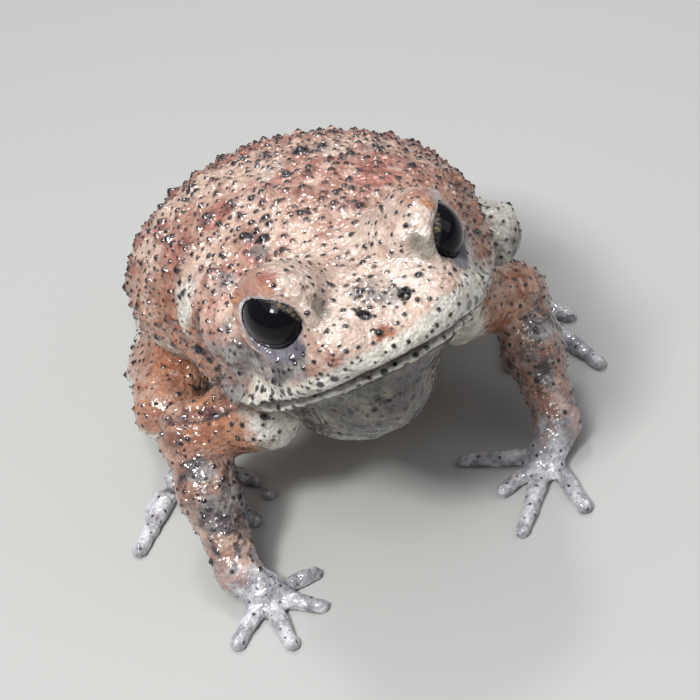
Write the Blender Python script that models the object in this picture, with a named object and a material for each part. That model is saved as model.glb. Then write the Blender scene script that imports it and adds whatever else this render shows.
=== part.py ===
"""A miyako toad, life size, sitting with its head raised and its forelegs straightened.

The body is one smooth form: rounded ellipsoids and tapered limbs blended into each other.
It is parted into named pieces by thin curved cuts, and the warts are fused on afterwards.
Sizes are in millimetres until the meshes are made. +X is the toad's left, -Y its front, +Z up.
"""

from math import cos, pi, radians, sin

import bmesh
import bpy
import numpy as np
import openvdb
from mathutils import Matrix, Quaternion, Vector

# Driving dimensions
MM = 0.001
SEAM = 0.34
FLOOR_TRIM = 0.12

EYE_HEIGHT = 37.0
EYE_SPREAD = 9.6
EYE_FORWARD = -0.1
EYE_UP = 0.0
EYE_RADII = (3.5, 4.5, 3.65)
EYE_LOOK = (0.58, 0.62, 0.26)
LID_TILT = -37.0
LID_FORWARD = 1.05
LID_HALF_LENGTH = 4.1
# Each lid, and the corner between them: half height of the opening, place outward, thickness
LOWER_LID = (4.05, 0.9, 0.4)
LID_CORNER = (3.85, 1.45, 0.45)
UPPER_LID = (3.65, 2.25, 0.8)
# The rim of the brow: its joints as (across, forward, up) in the head's frame
RIM_LINE = ((5.9, 3.0, 1.7), (9.3, 2.2, 3.4), (12.4, -2.2, 3.0))
RIM_RADII = (0.35, 0.5, 0.4)
SOCKET_WALL = 1.0
NOSTRIL = (2.5, 6.6, -2.2)
NOSTRIL_RADIUS = 0.75
HEAD_PITCH = 21.0
HEAD_HALF_WIDTH = 16.0
JAW_MIDDLE = -10.0
JAW_LENGTH = 18.8
JAW_POWER = 1.7
MOUTH_FRONT = -7.4
MOUTH_DROP = 3.5
LIP_OVERHANG = 0.5

COLLAR_CENTRE = (0.8, 54.8, 22.0)
COLLAR_RADII = (40.0, 48.5, 48.0)
CHEST_BLEND = 5.0
LIMB_BLEND = 3.0
HEAD_BLEND = 4.0

# Each limb: its joints as (x, y, z), then the tips of its digits as (x, y).
FORELEGS = {
    "right": {
        "shoulder": (-12.0, 10.2, 16.0),
        "elbow": (-20.4, 15.0, 14.5),
        "wrist": (-23.2, 2.4, 3.2),
        "palm": (-21.8, -0.6, 1.5),
        "fingers": ((-15.6, -1.4), (-17.3, -6.2), (-22.5, -9.0), (-27.6, -5.0)),
    },
    "left": {
        "shoulder": (13.0, 8.5, 18.0),
        "elbow": (22.0, 11.0, 13.0),
        "wrist": (18.2, -1.8, 3.2),
        "palm": (15.2, -3.6, 1.5),
        "fingers": ((7.2, 2.8), (8.4, -4.6), (6.8, -11.4), (14.4, -12.9)),
    },
}
HIND_LEGS = {
    "right": {
        "hip": (-5.0, 46.0, 10.5),
        "knee": (-19.6, 26.6, 9.0),
        "ankle": (-12.5, 49.5, 4.2),
        "heel": (-18.8, 26.4, 2.3),
        "toes": ((-14.0, 14.0), (-17.5, 11.0), (-23.0, 9.5), (-31.0, 16.0), (-27.3, 20.8)),
    },
    "left": {
        "hip": (11.5, 45.0, 10.5),
        "knee": (26.8, 25.2, 10.2),
        "ankle": (22.0, 48.0, 4.2),
        "heel": (26.6, 23.4, 2.3),
        "toes": ((20.0, 13.0), (20.5, 8.5), (23.3, 5.3), (28.6, 6.0), (30.4, 16.0)),
    },
}
UPPER_ARM_RADII = (4.4, 3.3)
FOREARM_RADII = (3.3, 3.4, 2.4)
FOREARM_BULGE = 0.42
THIGH_RADII = (6.5, 4.0)
SHANK_RADII = (3.7, 4.1, 2.6)
SHANK_BULGE = 0.4
TARSUS_RADII = (2.9, 2.3)
PALM_RADIUS = 2.1
FOOT_RADIUS = 1.9
FINGER_RADII = (1.25, 0.85)
TOE_RADII = (1.35, 0.85)
DIGIT_SINK = 0.72

# Warts: radius on the skin, height and share of each size
WART_SIZES = ((1.2, 0.85, 0.30), (0.9, 0.65, 0.42), (0.65, 0.5, 0.28))
WART_SIDES = 5
WART_ROOT = 0.5
WART_TIP = 0.3
WART_SEED = 11
WART_MARGIN = 2.3
WART_EYE_MARGIN = 2.6
WART_LOWEST = 5.0
WART_LOWEST_SLOPE = -0.05

# Grid step, triangle count, warts, their spacing and their scale for each piece
PIECES = {
    "head": (0.5, 2800, 34, 2.9, 0.65),
    "lower_jaw": (0.7, 800, 0, 0.0, 0.0),
    "torso": (0.9, 2000, 88, 4.0, 1.0),
    "upper_arm": (0.8, 240, 5, 3.0, 0.8),
    "forearm": (0.7, 320, 10, 2.8, 0.8),
    "hand": (0.4, 620, 0, 0.0, 0.0),
    "thigh": (0.8, 320, 4, 3.4, 0.8),
    "shank": (0.8, 320, 7, 3.2, 0.8),
    "tarsus": (0.7, 220, 0, 0.0, 0.0),
    "foot": (0.4, 640, 0, 0.0, 0.0),
}

SKIN = {
    "head": (0.52, 0.34, 0.26),
    "lower_jaw": (0.70, 0.66, 0.55),
    "torso": (0.50, 0.29, 0.21),
    "upper_arm": (0.53, 0.29, 0.18),
    "forearm": (0.50, 0.34, 0.26),
    "hand": (0.60, 0.57, 0.58),
    "thigh": (0.58, 0.45, 0.38),
    "shank": (0.62, 0.57, 0.53),
    "tarsus": (0.58, 0.50, 0.45),
    "foot": (0.60, 0.56, 0.55),
}
SKIN_ROUGHNESS = 0.35
EYE_COLOUR = (0.012, 0.010, 0.014)
EYE_ROUGHNESS = 0.08

SIDES = {"right": -1, "left": 1}


# Blends and basic forms, as distance fields over an array of points

def blend(a, b, width):
    """Union of two fields with a fillet of the given width."""
    h = np.maximum(width - np.abs(a - b), 0.0) / width
    return np.minimum(a, b) - h * h * width * 0.25


def ellipsoid(points, centre, radii, pitch=0.0, yaw=0.0, roll=0.0):
    """pitch lifts the front end, yaw turns it to the left, roll tips the top to the left."""
    turn = (Matrix.Rotation(radians(yaw), 3, "Z")
            @ Matrix.Rotation(radians(-pitch), 3, "X")
            @ Matrix.Rotation(radians(roll), 3, "Y"))
    local = (points - np.array(centre, np.float32)) @ np.array(turn, np.float32)
    scaled = local / np.array(radii, np.float32)
    reach = np.sqrt((scaled ** 2).sum(-1))
    slope = np.sqrt(((scaled / np.array(radii, np.float32)) ** 2).sum(-1))
    return reach * (reach - 1.0) / np.maximum(slope, 1e-6)


def smooth(value, low, high):
    """Rises smoothly from 0 at low to 1 at high, or falls where low is the greater."""
    t = np.clip((value - low) / (high - low), 0.0, 1.0)
    return t * t * (3.0 - 2.0 * t)


def tapered(points, start, end, start_radius, end_radius):
    """A rod with round ends whose radius changes evenly."""
    start = np.array(start, np.float32)
    axis = np.array(end, np.float32) - start
    along = np.clip(((points - start) @ axis) / (axis @ axis), 0.0, 1.0)
    away = points - start - along[..., None] * axis
    return np.sqrt((away ** 2).sum(-1)) - (start_radius + (end_radius - start_radius) * along)


def limb(points, joints, radii, width=2.0):
    """Tapered rods through the joints, one after the other."""
    field = None
    for i in range(len(joints) - 1):
        rod = tapered(points, joints[i], joints[i + 1], radii[i], radii[i + 1])
        field = rod if field is None else blend(field, rod, width)
    return field


# The head, in a frame of its own: across, forward and up from the point between the eyes

def head_point(across, forward, up):
    pitch = radians(HEAD_PITCH)
    return (across,
            -(forward * cos(pitch) - up * sin(pitch)),
            EYE_HEIGHT + forward * sin(pitch) + up * cos(pitch))


def head_frame(points):
    """The points as across, forward and up."""
    pitch = radians(HEAD_PITCH)
    y = points[..., 1]
    z = points[..., 2] - EYE_HEIGHT
    return points[..., 0], -y * cos(pitch) + z * sin(pitch), y * sin(pitch) + z * cos(pitch)


def head_ball(points, across, forward, up, radii, pitch=0.0, yaw=0.0, roll=0.0):
    return ellipsoid(points, head_point(across, forward, up), radii, HEAD_PITCH + pitch, yaw, roll)


def eye_field(points, side, grow=0.0):
    radii = tuple(radius + grow for radius in EYE_RADII)
    return head_ball(points, side * EYE_SPREAD, EYE_FORWARD, EYE_UP, radii)


def eye_frame(points, side):
    """The points in the frame of one eye: outward, toward its front corner, upward."""
    across, forward, up = head_frame(points)
    look = Vector(EYE_LOOK).normalized()
    fore = Vector((-look.y, look.x, 0.0)).normalized()
    fore.rotate(Quaternion(look, radians(LID_TILT)))
    offset = (across * side - EYE_SPREAD, forward - EYE_FORWARD, up - EYE_UP)
    return tuple(sum(offset[i] * axis[i] for i in range(3)) for axis in (look, fore, look.cross(fore)))


def between(value, low, middle, high):
    """Goes smoothly from low at -1 through middle at 0 to high at 1."""
    return middle + (high - middle) * smooth(value, 0.0, 0.9) + (low - middle) * smooth(value, 0.0, -0.9)


def lid_field(points, side):
    """The cup of one eye, the lids round its opening, and the rim of the brow above them."""
    out, front, top = eye_frame(points, side)
    front = front - LID_FORWARD
    height = top / np.maximum(np.sqrt(front ** 2 + top ** 2), 0.1)
    half, offset, thickness = (between(height, *sizes) for sizes in zip(LOWER_LID, LID_CORNER, UPPER_LID))
    ring = np.sqrt((front / LID_HALF_LENGTH) ** 2 + (top / half) ** 2)
    lid = np.sqrt(((ring - 1.0) * (LID_HALF_LENGTH + half) / 2) ** 2 + (out - offset) ** 2) - thickness
    cup = np.maximum(eye_field(points, side, SOCKET_WALL), out - offset)
    rim = limb(points, [head_point(side * x, y, z) for x, y, z in RIM_LINE], RIM_RADII)
    return blend(blend(lid, cup, 0.5), rim, 1.0)


def jaw_plate(points, up, shrink, thickness):
    """A flat form with round edges, whose outline from above is the jaw's, bent as the mouth's line."""
    radii = (HEAD_HALF_WIDTH - shrink, JAW_LENGTH - LIP_OVERHANG * (shrink > 0), thickness)
    across, forward, height = head_frame(bent(points))
    x = np.abs(across) / radii[0]
    y = np.abs(forward - JAW_MIDDLE) / radii[1]
    z = (height - up) / radii[2]
    plan = (x ** JAW_POWER + y ** JAW_POWER) ** (1.0 / JAW_POWER)
    steep = np.maximum(plan, 1e-3) ** (2.0 - JAW_POWER)
    slope = np.sqrt((steep * x ** (JAW_POWER - 1.0) / radii[0]) ** 2
                    + (steep * y ** (JAW_POWER - 1.0) / radii[1]) ** 2 + (z / radii[2]) ** 2)
    reach = np.sqrt(plan ** 2 + z ** 2)
    return reach * (reach - 1.0) / np.maximum(slope, 1e-6)


def skull_field(points):
    field = head_ball(points, 0, -6.0, -4.0, (12.5, 12.6, 5.8), pitch=-7)
    field = blend(field, head_ball(points, 0, 2.6, -5.6, (8.2, 6.2, 3.4), pitch=-10), 4.0)
    field = blend(field, jaw_plate(points, MOUTH_FRONT + 0.4, 0.0, 2.4), HEAD_BLEND)
    for side in SIDES.values():
        brow = head_ball(points, side * 7.4, -1.2, 1.9, (4.4, 5.2, 2.7), roll=-side * 25)
        gland = head_ball(points, side * 11.8, -13.0, -2.2, (3.6, 7.5, 3.4), pitch=-8, yaw=side * 8)
        ear = head_ball(points, side * 13.4, -7.6, -4.0, (1.4, 1.9, 1.9))
        cheek = head_ball(points, side * 8.4, -1.6, -6.0, (4.0, 7.2, 3.4), roll=side * 20)
        bridge = head_ball(points, side * 6.0, 5.2, -4.3, (3.0, 3.2, 2.2), yaw=-side * 35)
        field = blend(field, brow, 2.5)
        field = blend(field, cheek, 2.5)
        field = blend(field, bridge, 2.5)
        field = blend(field, lid_field(points, side), 1.4)
        field = blend(field, gland, 2.5)
        field = blend(field, ear, 0.8)
    return field


def jaw_field(points):
    rim = jaw_plate(points, MOUTH_FRONT - 1.2, 1.2, 2.2)
    floor = head_ball(points, 0, -8.0, -10.2, (10.0, 13.5, 3.2))
    throat = head_ball(points, -2.4, -7.5, -13.9, (8.4, 12.0, 5.8))
    return blend(blend(floor, throat, HEAD_BLEND), rim, 2.0)


def bent(points):
    """The points lifted by as much as the mouth's line sinks below its front."""
    sunk = MOUTH_DROP * np.clip((points[..., 0] / HEAD_HALF_WIDTH) ** 2, 0.0, 1.5)
    pitch = radians(HEAD_PITCH)
    return points + sunk[..., None] * np.array((0.0, sin(pitch), cos(pitch)), np.float32)


def mouth_height(points):
    """Height above the line of the mouth, which sinks toward the jaw's corners."""
    across, forward, up = head_frame(points)
    sunk = np.clip((across / HEAD_HALF_WIDTH) ** 2, 0.0, 1.5)
    return up - (MOUTH_FRONT - MOUTH_DROP * sunk)


def torso_field(points):
    field = ellipsoid(points, (2.6, 14.0, 25.2), (18.2, 13.0, 11.5), pitch=10)
    field = blend(field, ellipsoid(points, (3.2, 29.0, 19.5), (21.6, 22.6, 13.8), pitch=30, roll=9), 6.0)
    field = blend(field, ellipsoid(points, (3.2, 38.0, 12.0), (15.5, 15.0, 12.6), pitch=20), 6.0)
    return blend(field, ellipsoid(points, (4.2, 49.5, 7.0), (7.5, 7.5, 7.3)), 6.0)


def collar_field(points):
    """Below zero behind the seam between the head and the torso."""
    return ellipsoid(points, COLLAR_CENTRE, COLLAR_RADII)


def digits_field(points, root, root_radius, tips, radii):
    """Fingers or toes spread from one root along the floor."""
    start = (root[0], root[1], radii[0] * DIGIT_SINK)
    field = tapered(points, root, start, root_radius, radii[0])
    for x, y in tips:
        digit = tapered(points, start, (x, y, radii[1] * DIGIT_SINK), radii[0], radii[1])
        field = blend(field, digit, 1.0)
    return field


def limb_fields(points):
    """The field of each limb piece by its name."""
    fields = {}
    for side, leg in FORELEGS.items():
        elbow, wrist = Vector(leg["elbow"]), Vector(leg["wrist"])
        bulge = elbow.lerp(wrist, FOREARM_BULGE)
        fields["upper_arm_" + side] = limb(points, (leg["shoulder"], elbow), UPPER_ARM_RADII)
        fields["forearm_" + side] = limb(points, (elbow, bulge, wrist), FOREARM_RADII)
        hand = limb(points, (wrist, leg["palm"]), (FOREARM_RADII[-1], PALM_RADIUS), 1.0)
        digits = digits_field(points, leg["palm"], PALM_RADIUS, leg["fingers"], FINGER_RADII)
        fields["hand_" + side] = blend(hand, digits, 1.0)
    for side, leg in HIND_LEGS.items():
        fields["thigh_" + side] = limb(points, (leg["hip"], leg["knee"]), THIGH_RADII)
        knee, ankle = Vector(leg["knee"]), Vector(leg["ankle"])
        calf = knee.lerp(ankle, SHANK_BULGE)
        fields["shank_" + side] = limb(points, (knee, calf, ankle), SHANK_RADII)
        fields["tarsus_" + side] = limb(points, (leg["ankle"], leg["heel"]), TARSUS_RADII)
        fields["foot_" + side] = digits_field(points, leg["heel"], FOOT_RADIUS, leg["toes"], TOE_RADII)
    return fields


def toad_fields(points):
    """The field of the whole skin, and the plain field of each group that shares it."""
    upper = np.maximum(skull_field(points), -mouth_height(points))
    groups = {"head": blend(upper, jaw_field(points), 0.5), "torso": torso_field(points)}
    groups.update(limb_fields(points))
    skin = blend(groups["head"], groups["torso"], CHEST_BLEND)
    for side in SIDES:
        arm = blend(groups["upper_arm_" + side], groups["forearm_" + side], 2.0)
        arm = blend(arm, groups["hand_" + side], 1.5)
        leg = blend(groups["thigh_" + side], groups["shank_" + side], 1.5)
        leg = blend(leg, groups["tarsus_" + side], 1.2)
        leg = blend(leg, groups["foot_" + side], 1.2)
        skin = blend(skin, arm, LIMB_BLEND)
        skin = blend(skin, leg, 2.0)
    for side in SIDES.values():
        skin = np.maximum(skin, -eye_field(points, side, SEAM))
    return np.maximum(skin, -points[..., 2]), groups


# Parting the skin into pieces

def evened(field, step):
    """A field whose slope on the grid is made one, so that an offset of it is a true distance."""
    slopes = np.gradient(field, step)
    return field / np.maximum(np.sqrt(sum(slope ** 2 for slope in slopes)), 0.15)


def piece_grid(group, step):
    """Grid points round one group, from a coarse look at its own field."""
    coarse = np.stack(np.meshgrid(np.arange(-40, 41, 2.0), np.arange(-20, 64, 2.0),
                                  np.arange(-2, 46, 2.0), indexing="ij"), -1).astype(np.float32)
    inside = toad_fields(coarse)[1][group] < 3.5
    low = coarse[inside].min(0) - 3.0
    high = coarse[inside].max(0) + 3.0
    axes = [np.arange(low[i], high[i] + step, step) for i in range(3)]
    return low, np.stack(np.meshgrid(*axes, indexing="ij"), -1).astype(np.float32)


def piece_fields(name, group, points, step):
    """The whole skin, and one piece's share of the body, half a seam short of its neighbours."""
    skin, groups = toad_fields(points)
    trunk = ("head", "torso")
    others = [groups[other] for other in groups
              if other != group and not (group in trunk and other in trunk)]
    share = evened((groups[group] - np.minimum.reduce(others)) / 2, step)
    if group in trunk:
        collar = evened(collar_field(points), step)
        share = np.maximum(share, collar if group == "torso" else -collar)
    if group == "head":
        mouth = evened(mouth_height(points), step)
        share = np.maximum(share, mouth if name == "lower_jaw" else -mouth)
    return skin, share + SEAM / 2


# Meshes

def largest_body(mesh):
    """Keeps only the closed surface with the most faces."""
    shape = bmesh.new()
    shape.from_mesh(mesh)
    seen = set()
    bodies = []
    for face in shape.faces:
        if face in seen:
            continue
        body = []
        waiting = [face]
        seen.add(face)
        while waiting:
            current = waiting.pop()
            body.append(current)
            for edge in current.edges:
                for neighbour in edge.link_faces:
                    if neighbour not in seen:
                        seen.add(neighbour)
                        waiting.append(neighbour)
        bodies.append(body)
    bodies.sort(key=len)
    loose = [face for body in bodies[:-1] for face in body]
    bmesh.ops.delete(shape, geom=loose, context="FACES")
    shape.to_mesh(mesh)
    shape.free()


def skin_mesh(name, field, low, step):
    """The zero surface of a field on a grid."""
    grid = openvdb.FloatGrid()
    grid.background = 3.0
    grid.copyFromArray(np.ascontiguousarray(field, np.float32))
    points, quads = grid.convertToQuads(0.0)
    mesh = bpy.data.meshes.new(name)
    mesh.from_pydata((points * step + low).tolist(), [], quads.tolist())
    largest_body(mesh)
    return mesh


def add_object(name, mesh, collection, parent=None):
    shape = bpy.data.objects.new(name, mesh)
    collection.objects.link(shape)
    shape.parent = parent
    return shape


def apply_modifiers(shape):
    shape.data = bpy.data.meshes.new_from_object(shape.evaluated_get(bpy.context.evaluated_depsgraph_get()))
    shape.modifiers.clear()


def thin_out(shape, triangles):
    """Collapses edges until about the given number of triangles is left."""
    full = sum(len(face.vertices) - 2 for face in shape.data.polygons)
    thinning = shape.modifiers.new("thin out", "DECIMATE")
    thinning.ratio = min(1.0, triangles / full)
    bpy.context.view_layer.update()
    apply_modifiers(shape)


def trim_floor(mesh):
    """Everything near the floor is pressed to one level, and that level becomes zero."""
    for vertex in mesh.vertices:
        vertex.co.z = max(vertex.co.z, FLOOR_TRIM) - FLOOR_TRIM


def material(name, colour, roughness):
    made = bpy.data.materials.new(name)
    made.use_nodes = True
    shader = made.node_tree.nodes["Principled BSDF"]
    shader.inputs["Base Color"].default_value = (*colour, 1.0)
    shader.inputs["Roughness"].default_value = roughness
    shader.inputs["Metallic"].default_value = 0.0
    return made


# Warts

def wart_places(points, skin, share, step, count, spacing, random):
    """Grid points next to the open skin, no two nearer than the spacing, with their directions."""
    slopes = np.stack(np.gradient(skin, step), -1)
    slopes /= np.maximum(np.linalg.norm(slopes, axis=-1, keepdims=True), 1e-6)
    near = (np.abs(skin) < step / 2) & (share < -WART_MARGIN) & (slopes[..., 2] > WART_LOWEST_SLOPE)
    near &= points[..., 2] > WART_LOWEST
    for side in SIDES.values():
        near &= eye_field(points, side) > WART_EYE_MARGIN
    places = []
    candidates = np.argwhere(near)
    for index in random.permutation(len(candidates)):
        at = tuple(candidates[index])
        place = Vector(points[at] - slopes[at] * skin[at])
        if all((place - other).length > spacing for other, _ in places):
            places.append((place, Vector(slopes[at])))
        if len(places) == count:
            break
    return places


def fuse_warts(shape, places, scale, random):
    """Blunt cones sunk into the skin, fused with it in one union."""
    operands = bpy.data.collections.new(shape.name + " warts")
    bpy.context.scene.collection.children.link(operands)
    shares = [size[2] for size in WART_SIZES]
    for place, normal in places:
        radius, height, _ = WART_SIZES[random.choice(len(WART_SIZES), p=shares)]
        radius *= scale
        height *= scale
        foot = radius * (1.0 + (1.0 - WART_TIP) * WART_ROOT / height)
        cone = bmesh.new()
        bmesh.ops.create_cone(cone, cap_ends=True, cap_tris=True, segments=WART_SIDES,
                              radius1=foot, radius2=radius * WART_TIP, depth=height + WART_ROOT)
        turn = normal.to_track_quat("Z", "Y").to_matrix().to_4x4()
        centre = place + normal * (height - WART_ROOT) / 2
        spin = Matrix.Rotation(random.uniform(0.0, pi), 4, "Z")
        bmesh.ops.transform(cone, verts=cone.verts, matrix=Matrix.Translation(centre) @ turn @ spin)
        mesh = bpy.data.meshes.new("wart")
        cone.to_mesh(mesh)
        cone.free()
        add_object("wart", mesh, operands)
    union = shape.modifiers.new("warts", "BOOLEAN")
    union.operation = "UNION"
    union.operand_type = "COLLECTION"
    union.collection = operands
    union.solver = "MANIFOLD"
    bpy.context.view_layer.update()
    apply_modifiers(shape)
    for wart in list(operands.objects):
        bpy.data.objects.remove(wart)
    bpy.data.collections.remove(operands)
    largest_body(shape.data)


# The pieces

def pierce_nostrils(head):
    """Two small round pits in the front of the snout."""
    across, forward, up = NOSTRIL
    for side in SIDES.values():
        ball = bmesh.new()
        bmesh.ops.create_icosphere(ball, subdivisions=2, radius=NOSTRIL_RADIUS)
        place = Matrix.Translation(head_point(side * across, forward, up))
        bmesh.ops.transform(ball, verts=ball.verts, matrix=place)
        mesh = bpy.data.meshes.new("nostril")
        ball.to_mesh(mesh)
        ball.free()
        cutter = add_object("nostril", mesh, bpy.context.scene.collection)
        cut = head.modifiers.new("nostril", "BOOLEAN")
        cut.operation = "DIFFERENCE"
        cut.solver = "MANIFOLD"
        cut.object = cutter
        bpy.context.view_layer.update()
        apply_modifiers(head)
        bpy.data.objects.remove(cutter)


def make_piece(name, group, kind, collection, parent, random):
    step, triangles, warts, spacing, scale = PIECES[kind]
    low, points = piece_grid(group, step)
    skin, share = piece_fields(name, group, points, step)
    mesh = skin_mesh(name, np.maximum(skin, share), low, step)
    shape = add_object(name, mesh, collection, parent)
    thin_out(shape, triangles)
    if name == "head":
        pierce_nostrils(shape)
    if warts:
        places = wart_places(points, skin, share, step, warts, spacing, random)
        fuse_warts(shape, places, scale, random)
    trim_floor(shape.data)
    shape.data.materials.append(material(name, SKIN[kind], SKIN_ROUGHNESS))
    return shape


def make_eye(name, side, collection, parent):
    ball = bmesh.new()
    bmesh.ops.create_uvsphere(ball, u_segments=18, v_segments=10, radius=1.0)
    tilt = Matrix.Rotation(radians(-HEAD_PITCH), 4, "X")
    centre = Vector(head_point(side * EYE_SPREAD, EYE_FORWARD, EYE_UP)) - Vector((0, 0, FLOOR_TRIM))
    place = Matrix.Translation(centre)
    bmesh.ops.transform(ball, verts=ball.verts, matrix=place @ tilt @ Matrix.Diagonal((*EYE_RADII, 1.0)))
    mesh = bpy.data.meshes.new(name)
    ball.to_mesh(mesh)
    ball.free()
    mesh.materials.append(material(name, EYE_COLOUR, EYE_ROUGHNESS))
    return add_object(name, mesh, collection, parent)


def centre_on_floor(shapes, root):
    """Scales to metres, with the origin on the floor under the middle of the toad."""
    corners = np.array([tuple(vertex.co) for shape in shapes for vertex in shape.data.vertices])
    middle = (corners.min(0) + corners.max(0)) / 2
    shift = Matrix.Translation((-middle[0] * MM, -middle[1] * MM, 0.0))
    for shape in shapes:
        shape.data.transform(shift @ Matrix.Scale(MM, 4))
        shape.data.shade_smooth()
        shape.data.set_sharp_from_angle(angle=radians(40))


def main():
    for old in list(bpy.data.objects):
        bpy.data.objects.remove(old)
    collection = bpy.data.collections.new("miyako toad")
    bpy.context.scene.collection.children.link(collection)
    root = bpy.data.objects.new("toad", None)
    collection.objects.link(root)
    random = np.random.default_rng(WART_SEED)

    shapes = [make_piece(name, name if name == "torso" else "head", name, collection, root, random)
              for name in ("head", "lower_jaw", "torso")]
    for side in SIDES:
        for kind in ("upper_arm", "forearm", "hand", "thigh", "shank", "tarsus", "foot"):
            name = kind + "_" + side
            shapes.append(make_piece(name, name, kind, collection, root, random))
        shapes.append(make_eye("eye_" + side, SIDES[side], collection, root))
    centre_on_floor(shapes, root)


main()
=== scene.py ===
"""The looks of the miyako toad: one wet, warty skin over the fixed frame, and two dark eyes.

The skin is a distance field of blended ellipsoids and tapered limbs, the same forms as the solids,
with finer lids, lips, nostrils and folds. Warts and wrinkles are then raised along its normals.
Lengths are in millimetres until a mesh is made. +X is the toad's left, -Y its front, +Z up.
"""

from math import cos, radians, sin

import bmesh
import bpy
import numpy as np
import openvdb
from mathutils import Matrix, Quaternion, Vector
from mathutils.kdtree import KDTree


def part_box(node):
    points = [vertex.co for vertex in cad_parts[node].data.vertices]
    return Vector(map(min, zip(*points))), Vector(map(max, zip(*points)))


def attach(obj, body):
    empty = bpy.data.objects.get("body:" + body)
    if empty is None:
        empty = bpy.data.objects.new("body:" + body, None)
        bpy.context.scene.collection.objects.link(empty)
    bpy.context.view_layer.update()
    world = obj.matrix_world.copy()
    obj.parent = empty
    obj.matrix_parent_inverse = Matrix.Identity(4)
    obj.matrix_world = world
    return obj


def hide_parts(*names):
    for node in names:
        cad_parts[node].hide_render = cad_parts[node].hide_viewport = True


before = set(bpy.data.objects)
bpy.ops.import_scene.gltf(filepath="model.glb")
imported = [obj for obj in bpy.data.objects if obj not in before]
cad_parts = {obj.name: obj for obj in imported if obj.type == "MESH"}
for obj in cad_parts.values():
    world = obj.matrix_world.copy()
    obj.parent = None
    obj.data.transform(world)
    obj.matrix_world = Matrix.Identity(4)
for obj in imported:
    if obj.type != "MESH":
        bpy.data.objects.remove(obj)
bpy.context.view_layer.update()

MM = 0.001
SIDES = {"right": -1, "left": 1}

# The forms that the solids have too
FLOOR_TRIM = 0.12
EYE_HEIGHT = 37.0
EYE_SPREAD = 9.6
EYE_FORWARD = -0.1
EYE_UP = 0.0
EYE_RADII = (3.5, 4.5, 3.65)
EYE_LOOK = (0.58, 0.62, 0.26)
LID_TILT = -37.0
LID_FORWARD = 1.05
LID_HALF_LENGTH = 4.1
# Each lid, and the corner between them: half height of the opening, place outward, thickness
LOWER_LID = (4.05, 0.9, 0.4)
LID_CORNER = (3.85, 1.45, 0.45)
UPPER_LID = (3.65, 2.25, 0.8)
# The rim of the brow: its joints as (across, forward, up) in the head's frame
RIM_LINE = ((5.9, 3.0, 1.7), (9.3, 2.2, 3.4), (12.4, -2.2, 3.0))
RIM_RADII = (0.35, 0.5, 0.4)
SOCKET_WALL = 1.0
SOCKET_GAP = 0.05
NOSTRIL = (2.5, 6.6, -2.2)
NOSTRIL_RADII = (0.6, 0.8, 0.9)
HEAD_PITCH = 21.0
HEAD_HALF_WIDTH = 16.0
JAW_MIDDLE = -10.0
JAW_LENGTH = 18.8
JAW_POWER = 1.7
MOUTH_FRONT = -7.4
MOUTH_DROP = 3.5
LIP_OVERHANG = 0.5
NECK_FOLD_CENTRE = (0.8, 54.8, 22.0)
NECK_FOLD_RADII = (40.0, 48.5, 48.0)
CHEST_BLEND = 5.0
LIMB_BLEND = 2.0
HEAD_BLEND = 4.0

FORELEGS = {
    "right": {
        "shoulder": (-12.0, 10.2, 16.0),
        "elbow": (-20.4, 15.0, 14.5),
        "wrist": (-23.2, 2.4, 3.2),
        "palm": (-21.8, -0.6, 1.5),
        "fingers": ((-15.6, -1.4), (-17.3, -6.2), (-22.5, -9.0), (-27.6, -5.0)),
    },
    "left": {
        "shoulder": (13.0, 8.5, 18.0),
        "elbow": (22.0, 11.0, 13.0),
        "wrist": (18.2, -1.8, 3.2),
        "palm": (15.2, -3.6, 1.5),
        "fingers": ((7.2, 2.8), (8.4, -4.6), (6.8, -11.4), (14.4, -12.9)),
    },
}
HIND_LEGS = {
    "right": {
        "hip": (-5.0, 46.0, 10.5),
        "knee": (-19.6, 26.6, 9.0),
        "ankle": (-12.5, 49.5, 4.2),
        "heel": (-18.8, 26.4, 2.3),
        "toes": ((-14.0, 14.0), (-17.5, 11.0), (-23.0, 9.5), (-31.0, 16.0), (-27.3, 20.8)),
    },
    "left": {
        "hip": (11.5, 45.0, 10.5),
        "knee": (26.8, 25.2, 10.2),
        "ankle": (22.0, 48.0, 4.2),
        "heel": (26.6, 23.4, 2.3),
        "toes": ((20.0, 13.0), (20.5, 8.5), (23.3, 5.3), (28.6, 6.0), (30.4, 16.0)),
    },
}
UPPER_ARM_RADII = (4.4, 3.3)
FOREARM_RADII = (3.3, 3.4, 2.4)
FOREARM_BULGE = 0.42
THIGH_RADII = (6.5, 4.0)
SHANK_RADII = (3.7, 4.1, 2.6)
SHANK_BULGE = 0.4
TARSUS_RADII = (2.9, 2.3)
PALM_RADIUS = 2.1
FOOT_RADIUS = 1.9
FINGER_RADII = (1.25, 0.85)
TOE_RADII = (1.35, 0.85)
DIGIT_SINK = 0.72

# The pupil: its middle and radii as (forward, up) on the eye, and a distance that is never in it
PUPIL_MIDDLE = (0.7, -0.7)
PUPIL_RADII = (4.2, 2.9)
OUTSIDE = 100

# The grid of the skin
SKIN_STEP = 0.16
BLOCK = 4
GRID_LOW = (-36.0, -17.0, -1.5)
GRID_HIGH = (37.0, 61.0, 45.0)
# The field's value away from the surface, how many blocks from it count as near, and blocks in one go
FAR = 3.0
NEAR = 1.6
CHUNK = 20000
NOISE_CELLS = 32

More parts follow.
